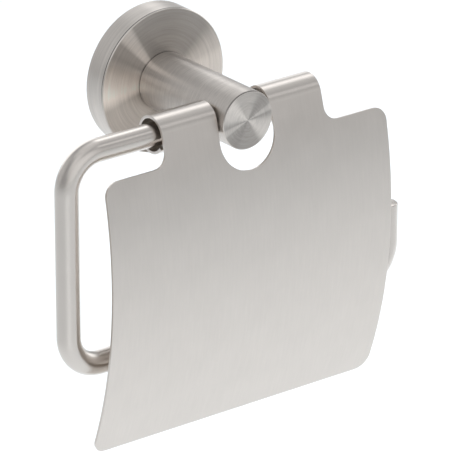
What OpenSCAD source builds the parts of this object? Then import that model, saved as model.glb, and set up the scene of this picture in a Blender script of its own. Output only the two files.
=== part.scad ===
// Wall-mounted toilet paper holder: a bent rod on a round post carries the roll,
// and a curved sheet-metal flap hinged on the rod hangs in front of it.
// The origin is on the wall, on the axis of the post. +Y goes into the wall,
// the holder stands out along -Y, +X is to the right and +Z is up.

/* [Rosette] */
// Diameter of the round wall cover
rosette_d = 50; // [46:1:60]
// How far the cover stands out from the wall
rosette_depth = 9; // [8:0.5:12]
// Thickness of the cover's front
rosette_face_t = 2; // [1.5:0.1:2.5]
// Thickness of the cover's rim
rosette_rim_t = 2.5; // [2:0.1:3]

/* [Post] */
// Diameter of the post
post_d = 20; // [18:1:24]
// How far the post's front end is from the wall
post_reach = 54.5; // [52:0.5:70]
// Rounded-off width of the post's sharp edges
post_chamfer = 0.25; // [0.1:0.05:0.6]

/* [Roll rod] */
// Diameter of the rod
rod_d = 8; // [7:0.5:9]
// Distance of the rod from the wall
rod_reach = 45.5; // [44:0.5:48]
// Half the distance between the two arms, on their centre lines
arm_x = 66; // [62:1:75]
// Height from the hinge run down to the run that carries the roll
rod_drop = 74; // [68:1:90]
// Bend radius of the rod's centre line
bend_r = 12; // [10:1:16]
// How far the rod's free arm ends below the hinge run
free_end_drop = 48.3; // [40:0.1:54]

/* [Flap] */
// Width of the flap
flap_w = 115; // [104:1:118]
// Thickness of the flap's sheet
sheet_t = 1; // [0.8:0.1:1.2]
// Radius of the flap's front surface
flap_r = 160; // [150:1:180]
// Height of the flap's lower edge below the hinge
flap_drop = 106.1; // [100:0.1:112]
// Height of the flap's shoulders below the hinge
shoulder_drop = 8.2; // [7:0.1:10]
// Radius of the flap's rounded corners
corner_r = 5; // [3:0.5:6]
// Outer ends of the two rolled hinge knuckles
knuckle_x_out = 32.5; // [30:0.5:36]
// Distance of each knuckle's inner end from the middle of the notch
knuckle_x_in = 10.8; // [10.6:0.1:11]
// Radius of the notch that clears the post
notch_r = 11.2; // [10.8:0.1:12]
// Depth of the centre of the notch below the hinge
notch_drop = 5.6; // [5:0.1:7]
// How far the notch lies to the right of the post's middle
notch_offset = 0.4; // [0:0.1:0.4]
// Angle above the horizontal at which the flap runs into its knuckles
knuckle_start_deg = 16.8; // [15:0.1:20]
// Angle at which the rolled knuckle ends, just behind the flap
knuckle_end_deg = 327; // [300:1:330]

/* [Hinge bushings] */
// Length of each bushing
bushing_len = 14; // [10:1:16]
// Radial running clearance on the rod
running_gap = 0.05; // [0.03:0.01:0.08]

/* [Wall plate] */
// Diameter of the plate
plate_d = 44.4; // [42:0.1:44.6]
// Thickness of the plate's base
plate_t = 2.2; // [1.8:0.1:2.2]
// Distance between the two wall screw holes
wall_hole_spacing = 26; // [26:0.1:26.4]
// Diameter of the wall screw holes
wall_hole_d = 4.6; // [4.2:0.1:4.8]

/* [Hidden] */

$fn = 96;
// The flap's wide arc and the cylinders it meets need fine facets
arc_fn = 720;
// How far a cutter runs past what it cuts, and how deep joined shapes overlap
cut = 1;
overlap = 0.5;

rosette_chamfer = 0.3;
rim_inner_r = rosette_d / 2 - rosette_rim_t;

// The foot of the post is a spigot with two flats, which keys it in the rosette
spigot_r = 7;
spigot_flat = 5;
post_thread_r = 3;
post_thread_depth = 14;
post_washer_r = 8;
post_washer_t = 1;
post_washer_gap = 0.2;
screw_head_r = 5;
screw_head_h = 3.3;
screw_len = 12;
hex_socket_r = 2.3;
hex_socket_depth = 2;

rod_r = rod_d / 2;
rod_chamfer = 0.4;
rod_bore_gap = 0.02;
rod_right_end = knuckle_x_out - 1;

// Both set screws: thread radius, length, and the size of their sockets
grub_r = 2;
rosette_grub_len = 5;
rod_grub_len = 5.5;
grub_socket_r = 1.15;
grub_socket_depth = 2;
rosette_grub_tip_r = 0.7;
rod_grub_tip_r = 1.2;
rosette_grub_y = 4.6;
groove_r = 19.4;
groove_half_w = 0.8;

// Room between the rod and the knuckles, which the bushings fill
bushing_gap = 1.5;
knuckle_r_in = rod_r + bushing_gap;
knuckle_r_out = knuckle_r_in + sheet_t;
flap_centre_y = -rod_reach + (flap_r - knuckle_r_out) * cos(knuckle_start_deg);
flap_centre_z = -(flap_r - knuckle_r_out) * sin(knuckle_start_deg);
// Where the flap runs into the knuckles, and by how much their outlines overlap there
tangent_z = knuckle_r_out * sin(knuckle_start_deg);
knuckle_overlap_deg = 0.2;
bushing_mid_x = 20.5;

groove_depth = 1;
ring_r_out = groove_r + groove_depth;
ring_r_in = 17.3;
ring_front_y = 6.6;
plate_hole_r = 8.6;
countersink_r = 3.9;
countersink_depth = 1.6;

// A cylinder along Y from the wall's depth y0 outwards to depth y1
module out_cylinder(r, y0, y1) {
    translate([0, -y0, 0]) rotate([90, 0, 0]) cylinder(r = r, h = y1 - y0);
}

// A solid turned about the post's axis, drawn as radius against distance from the wall
module turned(points) {
    rotate([90, 0, 0]) rotate_extrude() polygon(points);
}

// A Y-Z outline pushed out along X, from x0 to x1
module along_x(x0, x1) {
    translate([x0, 0, 0]) rotate([90, 0, 90]) linear_extrude(height = x1 - x0) children();
}

module hex_socket(r, depth) {
    cylinder(r = r, h = depth + cut, $fn = 6);
}

module wall_plate() {
    color("silver") difference() {
        union() {
            out_cylinder(plate_d / 2, 0, plate_t);
            turned([[ring_r_in, plate_t - overlap], [ring_r_out, plate_t - overlap],
                    [ring_r_out, rosette_grub_y - groove_half_w - groove_depth],
                    [groove_r, rosette_grub_y - groove_half_w],
                    [groove_r, rosette_grub_y + groove_half_w],
                    [ring_r_out, rosette_grub_y + groove_half_w + groove_depth],
                    [ring_r_out, ring_front_y], [ring_r_in, ring_front_y]]);
        }
        out_cylinder(plate_hole_r, -cut, plate_t + cut);
        for (side = [-1, 1]) translate([0, 0, side * wall_hole_spacing / 2]) {
            out_cylinder(wall_hole_d / 2, -cut, plate_t + cut);
            turned([[0, plate_t - countersink_depth],
                    [wall_hole_d / 2, plate_t - countersink_depth],
                    [countersink_r, plate_t], [countersink_r, plate_t + cut],
                    [0, plate_t + cut]]);
        }
    }
}

// Double-D outline of the spigot, drawn across the post
module spigot_outline(r, flat) {
    intersection() {
        circle(r = r);
        square([2 * r + 2, 2 * flat], center = true);
    }
}

module rosette() {
    color("silver") difference() {
        turned([[0, rosette_depth - rosette_face_t],
                [rim_inner_r, rosette_depth - rosette_face_t],
                [rim_inner_r, 0], [rosette_d / 2, 0],
                [rosette_d / 2, rosette_depth - rosette_chamfer],
                [rosette_d / 2 - rosette_chamfer, rosette_depth], [0, rosette_depth]]);
        translate([0, -rosette_depth + rosette_face_t + cut, 0]) rotate([90, 0, 0])
            linear_extrude(height = rosette_face_t + 2 * cut)
                spigot_outline(spigot_r, spigot_flat);
        translate([0, -rosette_grub_y, -rosette_d / 2 - cut])
            cylinder(r = grub_r, h = rosette_rim_t + 2 * cut);
    }
}

// A set screw that points up, with its hexagon socket at the bottom
module grub_screw(length, tip_r) {
    tip_h = grub_r - tip_r;
    difference() {
        union() {
            cylinder(r = grub_r, h = length - tip_h);
            translate([0, 0, length - tip_h]) cylinder(r1 = grub_r, r2 = tip_r, h = tip_h);
        }
        translate([0, 0, -cut]) hex_socket(grub_socket_r, grub_socket_depth);
    }
}

module rosette_grub_screw() {
    color("dimgray") translate([0, -rosette_grub_y, -groove_r - rosette_grub_len])
        grub_screw(rosette_grub_len, rosette_grub_tip_r);
}

module post() {
    color("silver") difference() {
        union() {
            turned([[0, rosette_depth], [post_d / 2 - post_chamfer, rosette_depth],
                    [post_d / 2, rosette_depth + post_chamfer],
                    [post_d / 2, post_reach - post_chamfer],
                    [post_d / 2 - post_chamfer, post_reach], [0, post_reach]]);
            translate([0, -rosette_depth + rosette_face_t, 0]) rotate([90, 0, 0])
                linear_extrude(height = rosette_face_t + overlap)
                    spigot_outline(spigot_r, spigot_flat);
        }
        out_cylinder(post_thread_r, 0, rosette_depth - rosette_face_t + post_thread_depth);
        translate([-post_d, -rod_reach, 0]) rotate([0, 90, 0])
            cylinder(r = rod_r + rod_bore_gap, h = 2 * post_d);
        translate([0, -rod_reach, -post_d]) cylinder(r = grub_r, h = post_d);
    }
}

module post_washer() {
    back = rosette_depth - rosette_face_t;
    color("gray") difference() {
        out_cylinder(post_washer_r, back - post_washer_t, back);
        out_cylinder(post_thread_r + post_washer_gap, back - 2 * post_washer_t, back + cut);
    }
}

module post_screw() {
    head_front = rosette_depth - rosette_face_t - post_washer_t;
    color("dimgray") difference() {
        union() {
            out_cylinder(screw_head_r, head_front - screw_head_h, head_front);
            out_cylinder(post_thread_r, head_front - cut, head_front + screw_len);
        }
        translate([0, -(head_front - screw_head_h), 0]) rotate([90, 0, 0])
            translate([0, 0, -cut]) hex_socket(hex_socket_r, hex_socket_depth);
    }
}

// A quarter bend about the centre (x, z), which starts at this angle
module rod_bend(x, z, start) {
    translate([x, 0, z]) rotate([90, 0, 0]) rotate([0, 0, start])
        rotate_extrude(angle = 90) translate([bend_r, 0]) circle(r = rod_r);
}

module roll_rod() {
    bend_x = arm_x - bend_r;
    low_z = -rod_drop + bend_r;
    color("silver") translate([0, -rod_reach, 0]) {
        translate([-bend_x, 0, 0]) rotate([0, 90, 0]) {
            cylinder(r = rod_r, h = bend_x + rod_right_end - rod_chamfer);
            translate([0, 0, bend_x + rod_right_end - rod_chamfer])
                cylinder(r1 = rod_r, r2 = rod_r - rod_chamfer, h = rod_chamfer);
        }
        rod_bend(-bend_x, -bend_r, 90);
        translate([-arm_x, 0, low_z]) cylinder(r = rod_r, h = rod_drop - 2 * bend_r);
        rod_bend(-bend_x, low_z, 180);
        translate([-bend_x, 0, -rod_drop]) rotate([0, 90, 0])
            cylinder(r = rod_r, h = 2 * bend_x);
        rod_bend(bend_x, low_z, 270);
        translate([arm_x, 0, low_z])
            cylinder(r = rod_r, h = -free_end_drop - low_z - rod_chamfer);
        translate([arm_x, 0, -free_end_drop - rod_chamfer])
            cylinder(r1 = rod_r, r2 = rod_r - rod_chamfer, h = rod_chamfer);
    }
}

module rod_grub_screw() {
    color("dimgray") translate([0, -rod_reach, -rod_r - rod_grub_len])
        grub_screw(rod_grub_len, rod_grub_tip_r);
}

// A wedge of the Y-Z plane seen from the rod, from angle a0 to a1 measured
// from the front (-Y) upwards, in steps fine enough to enclose a ring
module wedge(a0, a1) {
    reach = 4 * knuckle_r_out;
    steps = 12;
    polygon(concat([[0, 0]], [for (i = [0:steps])
        let (a = a0 + (a1 - a0) * i / steps) [-reach * cos(a), reach * sin(a)]]));
}

// The rolled end of the sheet, around the rod
module knuckle_outline() {
    translate([-rod_reach, 0]) intersection() {
        difference() {
            circle(r = knuckle_r_out);
            circle(r = knuckle_r_in);
        }
        wedge(knuckle_start_deg - knuckle_overlap_deg, knuckle_end_deg);
    }
}

// The curved sheet below its knuckles, seen from the side
module sheet_outline() {
    intersection() {
        translate([flap_centre_y, flap_centre_z]) difference() {
            circle(r = flap_r, $fn = arc_fn);
            circle(r = flap_r - sheet_t, $fn = arc_fn);
        }
        polygon([[-rod_reach, 0],
                 [-rod_reach - 4 * knuckle_r_out * cos(knuckle_start_deg),
                  4 * knuckle_r_out * sin(knuckle_start_deg)],
                 [-rod_reach - 4 * knuckle_r_out, -flap_drop - cut],
                 [-rod_reach + 2 * knuckle_r_out, -flap_drop - cut]]);
    }
}

// A rounded rectangle between two corners
module rounded_rectangle(x0, z0, x1, z1, r) {
    translate([x0 + r, z0]) square([x1 - x0 - 2 * r, z1 - z0]);
    translate([x0, z0 + r]) square([x1 - x0, z1 - z0 - 2 * r]);
    for (x = [x0 + r, x1 - r], z = [z0 + r, z1 - r]) translate([x, z]) circle(r = r);
}

// The flap seen from the front: a wide plate with two hinge tabs
module front_outline() {
    top = tangent_z + cut;
    half = flap_w / 2;
    difference() {
        union() {
            rounded_rectangle(-half, -flap_drop, half, -shoulder_drop, corner_r);
            translate([-knuckle_x_out, -shoulder_drop - corner_r])
                square([2 * knuckle_x_out, shoulder_drop + corner_r + top]);
            for (side = [-1, 1]) translate([side * knuckle_x_out, -shoulder_drop])
                difference() {
                    translate([side < 0 ? -corner_r : 0, -cut])
                        square([corner_r, corner_r + cut]);
                    translate([side * corner_r, corner_r]) circle(r = corner_r);
                }
        }
        translate([notch_offset, -notch_drop]) {
            circle(r = notch_r);
            polygon([[-notch_r, 0], [notch_r, 0],
                     [knuckle_x_in, top + cut + notch_drop],
                     [-knuckle_x_in, top + cut + notch_drop]]);
        }
    }
}

module flap() {
    color("lightgray") union() {
        intersection() {
            along_x(-flap_w, flap_w) sheet_outline();
            rotate([90, 0, 0]) linear_extrude(height = 2 * rod_reach) front_outline();
        }
        along_x(knuckle_x_in + notch_offset, knuckle_x_out) knuckle_outline();
        along_x(-knuckle_x_out, -knuckle_x_in + notch_offset) knuckle_outline();
    }
}

// A sleeve on the rod, centred at this x
module bushing(x) {
    color("whitesmoke") translate([x - bushing_len / 2, -rod_reach, 0]) rotate([0, 90, 0])
        difference() {
            cylinder(r = knuckle_r_in, h = bushing_len);
            translate([0, 0, -cut])
                cylinder(r = rod_r + running_gap, h = bushing_len + 2 * cut);
        }
}

module left_bushing() {
    bushing(-bushing_mid_x);
}

module right_bushing() {
    bushing(bushing_mid_x);
}

wall_plate();
rosette();
rosette_grub_screw();
post();
post_washer();
post_screw();
roll_rod();
rod_grub_screw();
flap();
left_bushing();
right_bushing();
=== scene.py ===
import math

import bmesh
import bpy
from mathutils import Matrix, Vector


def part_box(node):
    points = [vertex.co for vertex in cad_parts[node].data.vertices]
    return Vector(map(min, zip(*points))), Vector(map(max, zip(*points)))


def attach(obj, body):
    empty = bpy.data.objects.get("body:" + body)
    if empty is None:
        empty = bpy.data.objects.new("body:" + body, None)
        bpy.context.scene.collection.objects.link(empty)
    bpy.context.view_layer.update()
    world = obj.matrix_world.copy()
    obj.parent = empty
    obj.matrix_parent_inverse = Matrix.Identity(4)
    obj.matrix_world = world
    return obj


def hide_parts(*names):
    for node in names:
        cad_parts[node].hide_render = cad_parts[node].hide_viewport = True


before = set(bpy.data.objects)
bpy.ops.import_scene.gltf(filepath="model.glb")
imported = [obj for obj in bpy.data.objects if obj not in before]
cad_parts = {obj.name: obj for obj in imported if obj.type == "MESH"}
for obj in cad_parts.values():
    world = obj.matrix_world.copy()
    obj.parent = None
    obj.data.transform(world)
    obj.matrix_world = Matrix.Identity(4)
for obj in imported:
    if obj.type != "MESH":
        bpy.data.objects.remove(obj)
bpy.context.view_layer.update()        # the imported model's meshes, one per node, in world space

mm = 0.001
scene = bpy.context.scene

# ---------------------------------------------------------------- sizes, from the model's parts

rosette_lo, rosette_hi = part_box("rosette")
post_lo, post_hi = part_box("post")
rod_lo, rod_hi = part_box("roll_rod")
flap_lo, flap_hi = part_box("flap")

rosette_r = rosette_hi.x
rosette_depth = -rosette_lo.y
rim_wall = 2.5 * mm
rim_inner_r = rosette_r - rim_wall
rosette_back = 7 * mm
spigot_r = 7 * mm
post_r = post_hi.x
post_reach = -post_lo.y
rod_r = (rod_hi.y - rod_lo.y) / 2
rod_y = (rod_hi.y + rod_lo.y) / 2
arm_x = rod_hi.x - rod_r
rod_low_z = rod_lo.z + rod_r
bend_r = 12 * mm

sheet_t = 1 * mm
knuckle_r = flap_hi.z
flap_half_w = flap_hi.x
flap_arc_r = 160 * mm
flap_lean = math.radians(16.8)
arc_centre_y = rod_y + (flap_arc_r - knuckle_r) * math.cos(flap_lean)
arc_centre_z = -(flap_arc_r - knuckle_r) * math.sin(flap_lean)


def free_end_z():
    """Height of the rod's open right end, the highest point of its right arm."""
    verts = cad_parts["roll_rod"].data.vertices
    return max(v.co.z for v in verts if v.co.x > arm_x)


# ---------------------------------------------------------------- mesh helpers

def new_object(name, mesh):
    piece = bpy.data.objects.new(name, mesh)
    scene.collection.objects.link(piece)
    return piece


def with_weighted_normals(piece, sharp=50):
    """Shades the piece smooth, with flat faces kept flat beside their rounded edges."""
    piece.data.shade_smooth()
    piece.data.set_sharp_from_angle(angle=math.radians(sharp))
    weighted = piece.modifiers.new("weighted normals", "WEIGHTED_NORMAL")
    weighted.keep_sharp = True
    weighted.weight = 100
    return piece


def finish_mesh(name, bm):
    bmesh.ops.recalc_face_normals(bm, faces=bm.faces)
    mesh = bpy.data.meshes.new(name)
    bm.to_mesh(mesh)
    bm.free()
    return new_object(name, mesh)


def turned(name, profile, closed=True, segments=256):
    """A solid turned about the post's axis. profile is a list of (radius, distance
    from the wall); points on the axis become single vertices."""
    bm = bmesh.new()
    rings = []
    for r, reach in profile:
        if r < 1e-9:
            rings.append([bm.verts.new((0, -reach, 0))])
            continue
        rings.append([bm.verts.new((r * math.cos(a), -reach, r * math.sin(a)))
                      for a in (2 * math.pi * k / segments for k in range(segments))])
    pairs = list(zip(rings, rings[1:]))
    if closed:
        pairs.append((rings[-1], rings[0]))
    for a, b in pairs:
        for k in range(segments):
            n = (k + 1) % segments
            corners = [a[k % len(a)], a[n % len(a)], b[n % len(b)], b[k % len(b)]]
            distinct = list(dict.fromkeys(corners))
            if len(distinct) > 2:
                bm.faces.new(distinct)
    return finish_mesh(name, bm)


# ---------------------------------------------------------------- the flap

corner_r = 5 * mm
shoulder_z = -8.2 * mm
tab_half_w = 32.5 * mm
split_x = tab_half_w + corner_r
notch_r = 11.2 * mm
notch_z = -5.6 * mm
notch_low = notch_z - notch_r
tangent_z = knuckle_r * math.sin(flap_lean)
notch_top = tangent_z + 2 * mm
knuckle_end = math.radians(327)
knuckle_steps = 80
# Up to here the sides of the notch still close in on the post
notch_settle = 4 * mm
edge_round = 0.12 * mm
edge_cut = edge_round * (1 - math.sqrt(0.5))
# The rounded edge from front to back: (how far out, how deep) each
edge_sections = [(-edge_cut, edge_cut), (0, edge_round), (0, sheet_t - edge_round),
                 (-edge_cut, sheet_t - edge_cut)]
# Corners sharper than this aren't mitred in full
least_mitre = 0.4
arc_steps = 12
row_step = 2 * mm
plain_rows = 41
closest_rows = 0.12 * mm
steps_across = 10
steps_outside = 7

# The knuckles' inner ends tell how wide the notch is and where its middle lies
knuckle_xs = [v.co.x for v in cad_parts["flap"].data.vertices
              if v.co.z > knuckle_r / 2]
right_inner = min(x for x in knuckle_xs if x > 0)
left_inner = max(x for x in knuckle_xs if x < 0)
notch_offset = (right_inner + left_inner) / 2
tab_inner = (right_inner - left_inner) / 2


def sheet_point(x, s, depth):
    """A point of the sheet: s is the distance up the sheet from where it runs into
    its knuckles, depth is how far it lies behind the outer surface."""
    if s <= 0:
        a = flap_lean + s / flap_arc_r
        r = flap_arc_r - depth
        return Vector((x, arc_centre_y - r * math.cos(a), arc_centre_z + r * math.sin(a)))
    a = flap_lean + s / knuckle_r
    r = knuckle_r - depth
    return Vector((x, rod_y - r * math.cos(a), r * math.sin(a)))


def s_at_height(z):
    return (math.asin((z - arc_centre_z) / flap_arc_r) - flap_lean) * flap_arc_r


def round_corner(depth_in, r):
    """How far a corner of this radius draws the outline in, this far from its end."""
    if depth_in >= r:
        return 0.0
    return r - math.sqrt(max(r * r - (r - depth_in) ** 2, 0))


def outer_x(z):
    """Half width of the flap at this height, seen from the front."""
    if z > shoulder_z:
        return tab_half_w + round_corner(z - shoulder_z, corner_r)
    return (flap_half_w - round_corner(z - flap_lo.z, corner_r)
            - round_corner(shoulder_z - z, corner_r))


def inner_x(z):
    """Half width of the notch at this height, which is none below the notch."""
    if z <= notch_low + 1e-9:
        return 0.0
    if z < notch_z:
        return math.sqrt(max(notch_r ** 2 - (z - notch_z) ** 2, 0))
    return notch_r + (tab_inner - notch_r) * (z - notch_z) / (notch_top - notch_z)


def flap_rows():
    """Heights of the rows of faces below the knuckles, close together at each arc."""
    arcs = [i / arc_steps * math.pi / 2 for i in range(arc_steps + 1)]
    heights = [flap_lo.z + corner_r * (1 - math.cos(a)) for a in arcs]
    heights += [shoulder_z - corner_r * (1 - math.sin(a)) for a in arcs]
    heights += [shoulder_z + corner_r * (1 - math.cos(a)) for a in arcs]
    heights += [notch_z - notch_r * math.cos(a) for a in arcs]
    heights += [flap_lo.z + corner_r + i * row_step for i in range(1, plain_rows + 1)]
    heights += [tangent_z]
    keep = {flap_lo.z, shoulder_z, notch_low, tangent_z}
    rows = []
    for z in sorted(h for h in heights if h <= tangent_z):
        if rows and z - rows[-1] < closest_rows:
            if z in keep:
                rows[-1] = z
            continue
        rows.append(z)
    return rows


class FlatSheet:
    """The front of the flap laid out flat. Each vertex has a place (x, s)."""

    def __init__(self):
        self.bm = bmesh.new()
        self.places = {}
        self.made = {}

    def vertex(self, x, s):
        key = (round(x * 1e7), round(s * 1e7))
        if key not in self.made:
            self.made[key] = self.bm.verts.new((0, 0, 0))
            self.places[self.made[key]] = Vector((x, s))
        return self.made[key]

    def strip(self, low, high, steps):
        """Fills between two rows, each (one end's x, the other end's x, s)."""
        (low_x0, low_x1), (high_x0, high_x1) = sorted(low[:2]), sorted(high[:2])
        for k in range(steps):
            t0, t1 = k / steps, (k + 1) / steps
            corners = [self.vertex(x0 + (x1 - x0) * t, s) for x0, x1, s, t in
                       ((low_x0, low_x1, low[2], t0), (low_x0, low_x1, low[2], t1),
                        (high_x0, high_x1, high[2], t1), (high_x0, high_x1, high[2], t0))]
            distinct = list(dict.fromkeys(corners))
            if len(distinct) > 2:
                self.bm.faces.new(distinct)


def lay_plate(sheet, side):
    """Half of the flap below its knuckles."""
    inside, outside = [], []
    for z in flap_rows():
        s = s_at_height(z)
        edge = outer_x(z) if z > shoulder_z else split_x
        inside.append((notch_offset + side * inner_x(z), side * min(split_x, edge), s))
        if z <= shoulder_z:
            outside.append((side * split_x, side * outer_x(z), s))
    for low, high in zip(inside, inside[1:]):
        sheet.strip(low, high, steps_across)
    for low, high in zip(outside, outside[1:]):
        sheet.strip(low, high, steps_outside)


def lay_knuckle(sheet, side):
    """The tab that is rolled up into one knuckle."""
    reach = (knuckle_end - flap_lean) * knuckle_r
    start_gap = inner_x(tangent_z)
    rows = []
    for k in range(knuckle_steps + 1):
        s = reach * k / knuckle_steps
        gap = tab_inner + (start_gap - tab_inner) * max(0, 1 - s / notch_settle)
        rows.append((notch_offset + side * gap, side * tab_half_w, s))
    for low, high in zip(rows, rows[1:]):
        sheet.strip(low, high, steps_across)


def outline_of(faces):
    """The vertices round the outside of these faces, in order."""
    following = {loop.vert: loop.link_loop_next.vert for face in faces
                 for loop in face.loops if len(loop.edge.link_faces) == 1}
    start = next(iter(following))
    outline = [start]
    while following[outline[-1]] != start:
        outline.append(following[outline[-1]])
    return outline


def outward_directions(points):
    """Which way is out at each point of an outline, longer where a corner is mitred."""
    directions = []
    for i, here in enumerate(points):
        before = (here - points[i - 1]).normalized()
        after = (points[(i + 1) % len(points)] - here).normalized()
        n0, n1 = Vector((before.y, -before.x)), Vector((after.y, -after.x))
        directions.append((n0 + n1) / max(1 + n0.dot(n1), least_mitre))
    return directions


def edge_rings(bm, points, outward, grain):
    """Rings of vertices that carry the outline round the edge, from front to back."""
    rings = []
    for draw_out, depth in edge_sections:
        ring = []
        for here, out in zip(points, outward):
            place = here + out * draw_out
            ring.append(bm.verts.new(sheet_point(*place, depth)))
            grain[ring[-1]] = place + out * depth
        rings.append(ring)
    return rings


def build_flap():
    sheet = FlatSheet()
    for side in (-1, 1):
        lay_plate(sheet, side)
        lay_knuckle(sheet, side)
    bm, places = sheet.bm, sheet.places
    front = list(bm.faces)
    outline = outline_of(front)
    flat_outline = [places[v].copy() for v in outline]
    outward = outward_directions(flat_outline)
    brushing = bm.loops.layers.uv.new("brushing")

    # The front is drawn in by the rounding, and the edge is carried round to the back
    for v, out in zip(outline, outward):
        places[v] -= out * edge_round
    for v, place in places.items():
        v.co = sheet_point(*place, 0)
    grain = dict(places)
    edge = edge_rings(bm, flat_outline, outward, grain)
    back = {v: bm.verts.new(sheet_point(*place, sheet_t)) for v, place in places.items()}
    grain.update({back[v]: place for v, place in places.items()})

    rings = [outline, *edge, [back[v] for v in outline]]
    for face in front:
        bm.faces.new([back[v] for v in reversed(face.verts)])
    for a, b in zip(rings, rings[1:]):
        for i in range(len(outline)):
            n = (i + 1) % len(outline)
            bm.faces.new((a[i], a[n], b[n], b[i]))
    for face in bm.faces:
        for loop in face.loops:
            loop[brushing].uv = grain[loop.vert]
    return with_weighted_normals(finish_mesh("flap_sheet", bm))


# ---------------------------------------------------------------- the roll rod

rod_right_end = 31.5 * mm
rod_chamfer = 0.4 * mm
rod_sides = 96
bend_steps = 24


def rod_path():
    """Centre line of the rod as (point, direction) in X and Z, from the right hinge to
    the open end."""
    points = []

    def bend(cx, cz, start):
        for i in range(bend_steps + 1):
            a = math.radians(start) + math.pi / 2 * i / bend_steps
            points.append(((cx + bend_r * math.cos(a), cz + bend_r * math.sin(a)),
                           (-math.sin(a), math.cos(a))))

    turn_x = arm_x - bend_r
    points.append(((rod_right_end, 0), (-1, 0)))
    bend(-turn_x, -bend_r, 90)
    bend(-turn_x, rod_low_z + bend_r, 180)
    bend(turn_x, rod_low_z + bend_r, 270)
    points.append(((arm_x, free_end_z()), (0, 1)))
    return points


def rod_stations():
    """The rod's rings with its ends chamfered: (centre, direction, radius, distance
    along the rod) each."""
    path = rod_path()
    reach = [0.0]
    for (here, _), (there, _) in zip(path, path[1:]):
        reach.append(reach[-1] + math.dist(there, here))

    def station(end, inwards, r):
        place, direction = path[end]
        shift = inwards if end == 0 else -inwards
        moved = (place[0] + direction[0] * shift, place[1] + direction[1] * shift)
        return moved, direction, r, reach[end] + shift

    middle = [(place, direction, rod_r, along)
              for (place, direction), along in zip(path[1:-1], reach[1:-1])]
    return [station(0, 0, rod_r - rod_chamfer), station(0, rod_chamfer, rod_r), *middle,
            station(-1, rod_chamfer, rod_r), station(-1, 0, rod_r - rod_chamfer)]


def rod_ring(bm, place, direction, r):
    side = Vector((direction[1], 0, -direction[0]))
    front = Vector((0, -1, 0))
    centre = Vector((place[0], rod_y, place[1]))
    turns = [2 * math.pi * k / rod_sides for k in range(rod_sides)]
    return [bm.verts.new(centre + (side * math.cos(a) + front * math.sin(a)) * r)
            for a in turns]


def build_rod():
    bm = bmesh.new()
    brushing = bm.loops.layers.uv.new("brushing")
    stations = rod_stations()
    rings = [rod_ring(bm, place, direction, r) for place, direction, r, _ in stations]
    reach = [along for *_, along in stations]
    side_w = 2 * math.pi * rod_r / rod_sides
    for a, b, u0, u1 in zip(rings, rings[1:], reach, reach[1:]):
        for k in range(rod_sides):
            n = (k + 1) % rod_sides
            face = bm.faces.new((a[k], a[n], b[n], b[k]))
            for loop, u, step in zip(face.loops, (u0, u0, u1, u1), (k, k + 1, k + 1, k)):
                loop[brushing].uv = (u, step * side_w)
    for ring, (place, *_) in ((rings[0], stations[0]), (rings[-1], stations[-1])):
        middle = bm.verts.new((place[0], rod_y, place[1]))
        for k in range(rod_sides):
            face = bm.faces.new((ring[k], ring[(k + 1) % rod_sides], middle))
            for loop in face.loops:
                loop[brushing].uv = loop.vert.co.xy
    return with_weighted_normals(finish_mesh("bent_rod", bm))


# ---------------------------------------------------------------- turned pieces

def cut(piece, centre, direction, r, length):
    """Drills a round hole along a direction, starting at centre."""
    bm = bmesh.new()
    depth_matrix = Matrix.Translation(Vector(centre) + Vector(direction) * length / 2)
    turn = Vector(direction).to_track_quat("Z", "Y").to_matrix().to_4x4()
    bmesh.ops.create_cone(bm, cap_ends=True, segments=64, radius1=r, radius2=r,
                          depth=length, matrix=depth_matrix @ turn)
    drill_mesh = bpy.data.meshes.new("drill")
    bm.to_mesh(drill_mesh)
    bm.free()
    drill = new_object("drill", drill_mesh)
    hole = piece.modifiers.new("hole", "BOOLEAN")
    hole.operation = "DIFFERENCE"
    hole.solver = "EXACT"
    hole.object = drill
    drilled = bpy.data.meshes.new_from_object(
        piece.evaluated_get(bpy.context.evaluated_depsgraph_get()))
    piece.modifiers.remove(hole)
    piece.data = drilled
    bpy.data.objects.remove(drill)
    bpy.data.meshes.remove(drill_mesh)


set_screw_hole_r = 2 * mm
set_screw_hole_top = -2 * mm
rosette_screw_y = -4.6 * mm
rod_hole_r = rod_r + 0.03 * mm
turned_sharp = 35


def build_rosette():
    chamfer = 0.3 * mm
    foot_chamfer = 0.15 * mm
    piece = turned("rosette_cup", [
        (rim_inner_r, 0), (rosette_r - foot_chamfer, 0), (rosette_r, foot_chamfer),
        (rosette_r, rosette_depth - chamfer), (rosette_r - chamfer, rosette_depth),
        (spigot_r, rosette_depth), (spigot_r, rosette_back), (rim_inner_r, rosette_back)])
    inside_rim = (0, rosette_screw_y, -rim_inner_r + 2 * mm)
    cut(piece, inside_rim, (0, 0, -1), set_screw_hole_r, 6 * mm)
    return with_weighted_normals(piece, turned_sharp)


def build_post():
    chamfer = 0.25 * mm
    piece = turned("post_bar", [
        (0, rosette_back), (spigot_r, rosette_back), (spigot_r, rosette_depth),
        (post_r - chamfer, rosette_depth), (post_r, rosette_depth + chamfer),
        (post_r, post_reach - chamfer), (post_r - chamfer, post_reach), (0, post_reach)],
        closed=False)
    cut(piece, (0, rod_y, set_screw_hole_top), (0, 0, -1), set_screw_hole_r, post_r)
    cut(piece, (-post_r - mm, rod_y, 0), (1, 0, 0), rod_hole_r, 2 * (post_r + mm))
    return with_weighted_normals(piece, turned_sharp)


# ---------------------------------------------------------------- materials

# Most of a noise texture's values lie between these
noise_low, noise_high = 0.3, 0.7
# Handling marks per metre
marks_scale = 90


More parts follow.
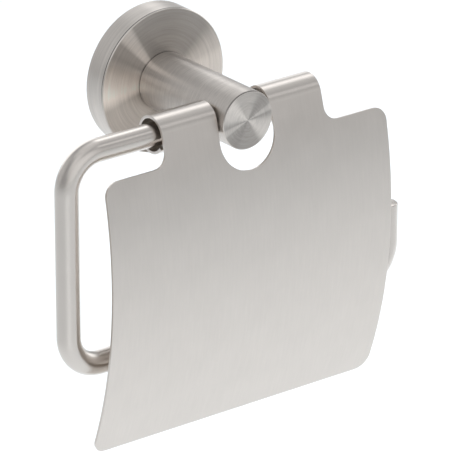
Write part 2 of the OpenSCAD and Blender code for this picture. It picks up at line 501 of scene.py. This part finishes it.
class Shade:
    """A material's node tree, with short ways to add to it."""

    def __init__(self, name, **constants):
        self.material = bpy.data.materials.new(name)
        self.material.use_nodes = True
        self.tree = self.material.node_tree
        self.tree.nodes.clear()
        self.shader = self.add("BsdfPrincipled", constants)
        self.add("OutputMaterial", {"Surface": self.shader.outputs[0]})

    def add(self, kind, inputs=None, **settings):
        made = self.tree.nodes.new("ShaderNode" + kind)
        for key, value in settings.items():
            setattr(made, key, value)
        for key, value in (inputs or {}).items():
            if isinstance(value, bpy.types.NodeSocket):
                self.tree.links.new(value, made.inputs[key])
            else:
                made.inputs[key].default_value = value
        return made

    def math(self, operation, a, b):
        return self.add("Math", {0: a, 1: b}, operation=operation).outputs[0]

    def scaled(self, vector, factors):
        return self.add("Mapping", {"Vector": vector, "Scale": factors}).outputs[0]

    def noise(self, vector, detail, roughness, w=None):
        inputs = {"Vector": vector, "Scale": 1.0, "Detail": detail, "Roughness": roughness}
        if w is None:
            return self.add("TexNoise", inputs).outputs["Fac"]
        inputs["W"] = w
        return self.add("TexNoise", inputs, noise_dimensions="4D").outputs["Fac"]

    def spread(self, value, low, high, to_low, to_high):
        """The value moved from one range to another, and held inside it."""
        inputs = {"Value": value, "From Min": low, "From Max": high,
                  "To Min": to_low, "To Max": to_high}
        return self.add("MapRange", inputs).outputs[0]

    def from_noise(self, value, to_low, to_high):
        return self.spread(value, noise_low, noise_high, to_low, to_high)

    def mix(self, factor, a, b):
        """A mix of two colours, which are inputs 6 and 7 of the node."""
        made = self.add("Mix", {"Factor": factor}, data_type="RGBA")
        for i, colour in ((6, a), (7, b)):
            if isinstance(colour, bpy.types.NodeSocket):
                self.tree.links.new(colour, made.inputs[i])
            else:
                made.inputs[i].default_value = (*colour, 1)
        return made.outputs[2]

    def edges(self, radius):
        """Near 1 on sharp outer edges within this radius, 0 elsewhere."""
        rounded = self.add("Bevel", {"Radius": radius}, samples=6).outputs[0]
        true = self.add("NewGeometry").outputs["Normal"]
        facing = self.add("VectorMath", {0: rounded, 1: true}, operation="DOT_PRODUCT")
        return self.spread(facing.outputs["Value"], 0.99, 0.8, 0.0, 1.0)

    def surface(self, colour, roughness, lines, contrast, bump_strength, bump_depth,
                wear_r, painted_light=None, height=None):
        """Colour, roughness and relief from the line pattern, handling marks and
        edges rubbed brighter. contrast is how far the lines move the colour. painted_light,
        when given, multiplies painted highlights and shade into the colour."""
        swing = contrast / 2
        place = self.add("TexCoord").outputs["Object"]
        marks = self.noise(self.scaled(place, (marks_scale,) * 3), 3, 0.5)
        tone = self.from_noise(lines, 1 - contrast, 1 + contrast)
        tone = self.math("MULTIPLY", tone, self.from_noise(marks, 0.985, 1.015))
        # Painted highlights and shade, where given, lighten and darken the colour
        if painted_light is not None:
            tone = self.math("MULTIPLY", tone, painted_light)
        shade = self.add("VectorMath", {0: colour, "Scale": tone}, operation="SCALE")
        worn = self.math("MULTIPLY", self.edges(wear_r), self.from_noise(marks, 0.4, 1))
        bright = [min(c * 1.18, 0.95) for c in colour]
        self.link("Base Color", self.mix(worn, shade.outputs[0], bright))
        rough = self.from_noise(lines, roughness * (1 + swing), roughness * (1 - swing))
        rough = self.math("ADD", rough, self.from_noise(marks, -0.01, 0.01))
        rough = self.math("SUBTRACT", rough, self.math("MULTIPLY", worn, 0.05))
        self.link("Roughness", rough)
        relief = self.add("Bump", {"Strength": bump_strength, "Distance": bump_depth,
                                   "Height": lines if height is None else height})
        self.link("Normal", relief.outputs[0])
        return self.material

    def link(self, socket, source):
        self.tree.links.new(source, self.shader.inputs[socket])


def painted_radial_streaks(s, around, base_tone, painted_light):
    """Painted highlights and shade on the flat faces: the base tone with soft radial
    streaks of painted light over it, standing in for the bow-tie reflections that turned
    faces show: (degrees from the top towards the left, half width, strength, whether
    it repeats on the far side) each. The round faces stay at 1."""
    tone = base_tone
    for angle, half_width, strength, both_ways in painted_light:
        a = math.radians(angle)
        along = s.add("VectorMath", {0: around, 1: (-math.sin(a), 0, math.cos(a))},
                      operation="DOT_PRODUCT").outputs["Value"]
        if both_ways:
            along = s.math("ABSOLUTE", along, 0)
        lobe = s.add("MapRange", {"Value": along, "To Max": strength,
                                  "From Min": math.cos(math.radians(half_width))},
                     interpolation_type="SMOOTHSTEP").outputs[0]
        tone = s.math("ADD", lobe, tone)
    normal = s.add("SeparateXYZ", {0: s.add("TexCoord").outputs["Normal"]}).outputs["Y"]
    on_face = s.spread(s.math("ABSOLUTE", normal, 0), 0.8, 0.95, 0.0, 1.0)
    return s.add("Mix", {"Factor": on_face, "A": 1.0, "B": tone}).outputs[0]


def with_painted_shadow_lines(s, tone, y, height, painted_shadow_lines):
    """The tone with fine painted shadow lines round the piece, shade painted into the
    gaps at its edges and dark only above their lowest height: (distance from the wall,
    half width, depth, lowest height on the unit circle) each."""
    for reach, half_width, depth, lowest in painted_shadow_lines:
        on_shadow_line = s.add("Math", {0: y, 1: -reach, 2: half_width}, operation="COMPARE")
        dark = s.spread(height, lowest - 0.3, lowest + 0.3, 0.0, depth)
        loss = s.math("MULTIPLY", on_shadow_line.outputs[0], dark)
        tone = s.math("MULTIPLY", tone, s.math("SUBTRACT", 1.0, loss))
    return tone


def turned_metal(name, roughness, anisotropy, arc, base_tone, painted_light, painted_shadow_lines):
    """Steel with fine lines round the post's axis, with painted highlights and shade
    streaked over its flat faces and painted shadow lines round it. arc is how often the
    lines change in going round by the radius."""
    line = 0.6 * mm
    quarter_turn = 0.25
    s = Shade(name, **{"Metallic": 1.0, "Anisotropic": anisotropy,
                       "Anisotropic Rotation": quarter_turn})
    place = s.add("TexCoord").outputs["Object"]
    flat = s.scaled(place, (1, 0, 1))
    radius = s.add("VectorMath", {0: flat}, operation="LENGTH").outputs["Value"]
    y = s.add("SeparateXYZ", {0: place}).outputs["Y"]
    around = s.add("VectorMath", {0: flat}, operation="NORMALIZE").outputs[0]
    height = s.add("SeparateXYZ", {0: around}).outputs["Z"]
    across = s.math("MULTIPLY", s.math("SUBTRACT", radius, y), 1 / line)
    lines = s.noise(s.scaled(around, (arc, arc, arc)), 3, 0.75, across)
    # Painted highlights and shade on the flat faces, then painted shadow lines round the piece
    tone = with_painted_shadow_lines(s, painted_radial_streaks(s, around, base_tone, painted_light), y, height, painted_shadow_lines)
    s.link("Tangent", s.add("Tangent", direction_type="RADIAL", axis="Y").outputs[0])
    return s.surface(steel, roughness, lines, 0.12, 0.3, line * 0.1, 0.35 * mm, tone)


def brushed_metal(name, colour, roughness, anisotropy, swing, bump, line, length):
    """Metal brushed along the V of its UV map, which is in metres."""
    s = Shade(name, Metallic=1.0, Anisotropic=anisotropy)
    place = s.add("UVMap", uv_map="brushing").outputs[0]
    brushed = s.scaled(place, (1 / line, 1 / length, 0))
    lines = s.noise(brushed, 3, 0.75)
    height = s.noise(brushed, 0, 0.5)
    s.link("Tangent", s.add("Tangent", direction_type="UV_MAP", uv_map="brushing").outputs[0])
    return s.surface(colour, roughness, lines, swing, bump, line * 0.1, 0.3 * mm,
                     height=height)


def rolled_metal(name, colour, roughness, swing, bump, grain):
    """Plain plated or rolled metal with an even, fine grain."""
    s = Shade(name, Metallic=1.0)
    place = s.add("TexCoord").outputs["Object"]
    lines = s.noise(s.scaled(place, (1 / grain, 0.6 / grain, 1 / grain)), 4, 0.6)
    return s.surface(colour, roughness, lines, swing, bump, grain * 0.2, 0.3 * mm)


def moulded(name, colour, roughness, bump, grain):
    s = Shade(name)
    place = s.add("TexCoord").outputs["Object"]
    lines = s.noise(s.scaled(place, (1 / grain, 1 / grain, 1 / grain)), 3, 0.5)
    return s.surface(colour, roughness, lines, 0.05, bump, grain * 0.3, 0.2 * mm)


steel = (0.6225, 0.574, 0.531)
# Painted highlights on the rosette's face: bright radial streaks at its sides that stand in for
# reflections, so its top stays darker
rosette_painted_highlights = [(81, 25, 0.95, False), (122, 45, 0.36, False), (45, 26, 0.1, False),
                   (38, 9, 0.52, False),
                   (270, 20, 0.25, False), (274, 40, 0.5, False)]
# Painted highlights and shade on the post's end face, radial streaks that stand in for its
# bow-tie reflections
post_painted_light = [(60, 36, 0.42, True), (15, 55, 0.16, True), (107, 10, 0.24, True),
                (0, 45, 0.05, False), (190, 55, -0.14, False), (140, 20, -0.065, True)]
materials = {
    # The rosette's painted shadow line lies on the upper half of the rim, near its front edge
    "rosette": turned_metal("rosette_steel", 0.32, 0.88, 0.8, 0.58, rosette_painted_highlights,
                            [(rosette_depth - 0.5 * mm, 0.2 * mm, 0.8, 0.0)]),
    # The post's painted shadow lines lie on the top of its end edge and all round its foot by the
    # rosette
    "post": turned_metal("post_steel", 0.35, 0.78, 1.4, 0.6, post_painted_light,
                         [(post_reach - 0.25 * mm, 0.22 * mm, 0.7, 0.4),
                          (rosette_depth + 0.15 * mm, 0.15 * mm, 0.7, -2.0)]),
    "rod_steel": brushed_metal("rod_steel", steel, 0.25, 0.5, 0.02, 0.04, 0.7 * mm, 6 * mm),
    "sheet_steel": brushed_metal("sheet_steel", steel, 0.288, 0.6, 0.02, 0.05, 0.8 * mm, 12 * mm),
    "plate_steel": rolled_metal("plate_steel", (0.5, 0.5, 0.49), 0.38, 0.06, 0.2, 0.5 * mm),
    "screw_steel": rolled_metal("screw_steel", (0.38, 0.38, 0.38), 0.34, 0.08, 0.2, 0.3 * mm),
    "nylon": moulded("nylon", (0.82, 0.78, 0.72), 0.5, 0.2, 0.4 * mm),
}

# ---------------------------------------------------------------- assembly

own_pieces = [
    (build_rosette(), "holder", "rosette", "turned_steel", "rosette"),
    (build_post(), "holder", "post", "turned_steel", "post"),
    (build_rod(), "holder", "roll_rod", "rod_steel", "rod_steel"),
    (build_flap(), "flap", "flap", "sheet_steel", "sheet_steel"),
]
for piece, body, node_name, slot, material in own_pieces:
    piece.data.materials.append(materials[material])
    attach(piece, body)
    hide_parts(node_name)

carried_over = {
    "wall_plate": "plate_steel", "post_washer": "screw_steel", "post_screw": "screw_steel",
    "rosette_grub_screw": "screw_steel", "rod_grub_screw": "screw_steel",
    "left_bushing": "nylon", "right_bushing": "nylon",
}
for node_name, slot in carried_over.items():
    for material_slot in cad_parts[node_name].material_slots:
        material_slot.material = materials[slot]

# ---------------------------------------------------------------- stage

camera_azimuth = math.radians(-37.62)
camera_elevation = math.radians(22.79)
camera_distance = 1.558
camera_target = Vector((0.0087, -0.03158, -0.0469))
away = Vector((math.sin(camera_azimuth) * math.cos(camera_elevation),
               -math.cos(camera_azimuth) * math.cos(camera_elevation),
               math.sin(camera_elevation)))
camera_data = bpy.data.cameras.new("camera")
camera_data.lens = 373.84
camera_data.sensor_width = 36
camera_data.clip_end = 100
camera = bpy.data.objects.new("camera", camera_data)
camera.location = camera_target + away * camera_distance
camera.rotation_euler = away.to_track_quat("Z", "Y").to_euler()
scene.collection.objects.link(camera)
scene.camera = camera

floor_half = 8
floor_z = -0.5
floor_mesh = bpy.data.meshes.new("floor")
floor_mesh.from_pydata([(-floor_half, -floor_half, floor_z), (floor_half, -floor_half, floor_z),
                        (floor_half, floor_half, floor_z), (-floor_half, floor_half, floor_z)],
                       [], [(0, 1, 2, 3)])
floor = new_object("floor", floor_mesh)
floor_shade = Shade("floor", **{"Base Color": (0.88, 0.9, 0.912, 1), "Roughness": 0.9,
                                "Specular IOR Level": 0.0})
floor.data.materials.append(floor_shade.material)


def towards(azimuth, elevation):
    """Unit vector: azimuth from the front (-Y) to the right (+X), in degrees."""
    a, e = math.radians(azimuth), math.radians(elevation)
    return Vector((math.sin(a) * math.cos(e), -math.cos(a) * math.cos(e), math.sin(e)))


def wash(name, x, y, z, size, radiance):
    """A round lamp that lights the floor and isn't mirrored in the metal. radiance is
    how bright its disk is."""
    data = bpy.data.lights.new(name, "AREA")
    data.shape = "DISK"
    data.size = size
    data.energy = radiance * math.pi * (math.pi / 4 * size * size)
    data.color = (0.97, 1, 1.03)
    light = new_object(name, data)
    light.location = (x, y, z)
    light.visible_glossy = False


wash("wash_centre", 0.12, 0, 0.7, 0.8, 3.3)
wash("wash_back", 0.75, 0.95, 0.4, 0.9, 1.4)
wash("wash_right", 1.0, 0.1, 0.4, 0.9, 1.6)
wash("wash_front_left", -0.55, -0.95, -0.1, 0.4, 2.6)
wash("wash_front_right", 1.05, -1.5, 0.4, 0.9, 0.6)
wash("wash_back_left", -0.3, 1.2, 0.4, 0.9, 0.2)

# Each panel: name, azimuth, elevation, degrees of full light, degrees to no light, strength
panels = [
    ("zenith", 0, 88, 10, 45, 0.4),
    ("key_low", 132, 42, 2, 12, 1.35),
    ("key_high", 120, 50, 2, 12, 1.1),
    ("key_wide", 125, 45, 10, 45, 0.2),
    ("right_high", 48, 42, 2, 12, 0.75),
    ("front_right", 60, 8, 5, 25, 0.52),
    ("back_low", 165, 8, 8, 35, 1.25),
    ("right_low", 95, 12, 6, 25, 1.3),
    ("front", 0, 15, 10, 40, 0.6),
    ("front_left", -38, 5, 4, 20, 0.3),
    ("front_left_high", -45, 40, 8, 30, 0.45),
    ("left_back", -140, 20, 10, 40, 0.25),
]


def build_world(base, tint):
    """A soft even studio with a few softer and brighter panels in it."""
    world = bpy.data.worlds.new("studio")
    world.use_nodes = True
    tree = world.node_tree
    background = tree.nodes["Background"]
    direction = tree.nodes.new("ShaderNodeTexCoord").outputs["Generated"]
    base_light = tree.nodes.new("ShaderNodeValue")
    base_light.outputs[0].default_value = base
    total = base_light.outputs[0]
    for name, azimuth, elevation, full, none, strength in panels:
        facing = tree.nodes.new("ShaderNodeVectorMath")
        facing.operation = "DOT_PRODUCT"
        tree.links.new(direction, facing.inputs[0])
        facing.inputs[1].default_value = towards(azimuth, elevation)
        fade = tree.nodes.new("ShaderNodeMapRange")
        fade.interpolation_type = "SMOOTHSTEP"
        fade.inputs["From Min"].default_value = math.cos(math.radians(none))
        fade.inputs["From Max"].default_value = math.cos(math.radians(full))
        tree.links.new(facing.outputs["Value"], fade.inputs["Value"])
        panel = tree.nodes.new("ShaderNodeMath")
        panel.name = name
        panel.operation = "MULTIPLY_ADD"
        panel.inputs[1].default_value = strength
        tree.links.new(fade.outputs[0], panel.inputs[0])
        tree.links.new(total, panel.inputs[2])
        total = panel.outputs[0]
    background.inputs["Color"].default_value = (*tint, 1)
    tree.links.new(total, background.inputs["Strength"])
    return world


scene.world = build_world(0.43, (0.975, 1, 1.025))
scene.view_settings.view_transform = "Standard"
# The gaps at the hinge are bright only through light that bounces many times in them
scene.cycles.glossy_bounces = 10
